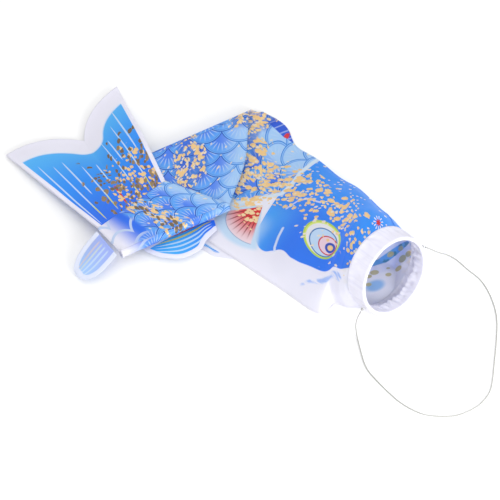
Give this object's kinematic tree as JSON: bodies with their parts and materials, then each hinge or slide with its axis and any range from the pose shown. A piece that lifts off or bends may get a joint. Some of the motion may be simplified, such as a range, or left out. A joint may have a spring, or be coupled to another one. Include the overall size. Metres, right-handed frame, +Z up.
{
  "type": "carp streamer",
  "caption": "Carp-shaped windsock of printed cloth lying folded back on itself, with a wire mouth hoop, loose fins, a forked tail fin and a string bridle.",
  "frame": {"origin": "middle of the footprint of the folded streamer without its bridle, on the surface it lies on", "axes": "+X from the tail fin towards the mouth, +Y away from the viewer, +Z up"},
  "size_m": [0.492, 0.4006, 0.0822],
  "materials": {
    "printed_cloth": "printed polyester satin with gold flecks",
    "fin_cloth": "printed polyester satin with a white margin",
    "hem_cloth": "unprinted polyester satin",
    "seam_thread": "sewn seam",
    "hoop_wire": "drawn wire",
    "bridle_string": "fine twisted string"
  },
  "bodies": {
    "head": {"head_cloth_right": "printed_cloth", "head_cloth_left": "printed_cloth", "head_seam_belly": "seam_thread", "head_seam_dorsal": "seam_thread", "fold_one_cloth_left": "printed_cloth", "fold_one_cloth_right": "printed_cloth"},
    "mouth": {"mouth_hoop": "hoop_wire", "mouth_hem": "hem_cloth", "bridle_knot_dorsal": "bridle_string", "bridle_knot_belly": "bridle_string"},
    "bridle": {"bridle_cord": "bridle_string"},
    "mid": {"mid_cloth_left": "printed_cloth", "mid_cloth_right": "printed_cloth", "mid_seam_belly": "seam_thread", "mid_seam_dorsal": "seam_thread", "fold_two_cloth_right": "printed_cloth", "fold_two_cloth_left": "printed_cloth"},
    "tail": {"tail_cloth_right": "printed_cloth", "tail_cloth_left": "printed_cloth", "tail_seam_belly": "seam_thread", "tail_seam_dorsal": "seam_thread"},
    "tail_fin_under": {"tail_fin_left": "fin_cloth"},
    "tail_fin_over": {"tail_fin_right": "fin_cloth"},
    "pectoral_right": {"pectoral_fin_right": "fin_cloth"},
    "pectoral_left": {"pectoral_fin_left": "fin_cloth"},
    "pelvic": {"pelvic_fin": "fin_cloth"}
  },
  "joints": [
    {"name": "fold_one", "type": "hinge", "parent": "head", "child": "mid", "pos_m": [-0.10146, 0.03345, 0.0065], "axis": [-0.8813, -0.4726, 0], "range_deg": [0, 180], "deforming": ["fold_one_cloth_left", "fold_one_cloth_right"]},
    {"name": "fold_two", "type": "hinge", "parent": "mid", "child": "tail", "pos_m": [-0.09386, -0.06695, 0.0135], "axis": [-0.8813, -0.4726, 0], "range_deg": [-180, 0], "deforming": ["fold_two_cloth_right", "fold_two_cloth_left"]},
    {"name": "tail_fin_lift", "type": "hinge", "parent": "tail", "child": "tail_fin_under", "pos_m": [-0.11616, -0.03835, 0.0156], "axis": [0.7602, 0.6495, 0.0148], "range_deg": [0, 6.5]},
    {"name": "tail_fin_open", "type": "hinge", "parent": "tail_fin_under", "child": "tail_fin_over", "pos_m": [-0.11616, -0.03835, 0.0156], "axis": [0.7602, 0.6495, 0.0148], "range_deg": [0, 25]},
    {"name": "pelvic_fin_lift", "type": "hinge", "parent": "tail", "child": "pelvic", "pos_m": [-0.11786, -0.04125, 0.0152], "axis": [-0.5828, 0.8126, 0], "range_deg": [0, 17]},
    {"name": "pectoral_right_sweep", "type": "hinge", "parent": "head", "child": "pectoral_right", "pos_m": [-0.00006, -0.02375, 0.0066], "axis": [0, 0, 1], "range_deg": [0, 25]},
    {"name": "pectoral_left_sweep", "type": "hinge", "parent": "head", "child": "pectoral_left", "pos_m": [0.02244, -0.06635, 0.0003], "axis": [0, 0, 1], "range_deg": [0, 25]},
    {"name": "mouth_tilt", "type": "hinge", "parent": "head", "child": "mouth", "pos_m": [0.18651, -0.1225, 0.00242], "axis": [0.7189, 0.6951, 0], "range_deg": [0, 17]},
    {"name": "bridle_swing", "type": "hinge", "parent": "mouth", "child": "bridle", "pos_m": [0.20706, -0.07852, 0.04111], "axis": [-0.6704, -0.7228, -0.1678], "range_deg": [0, 90]}
  ],
  "couplings": [
    {"joint": "fold_two", "follows": "fold_one", "ratio": -1},
    {"joint": "tail_fin_lift", "follows": "fold_one", "ratio": 0.0344},
    {"joint": "pelvic_fin_lift", "follows": "fold_one", "ratio": 0.088}
  ]
}
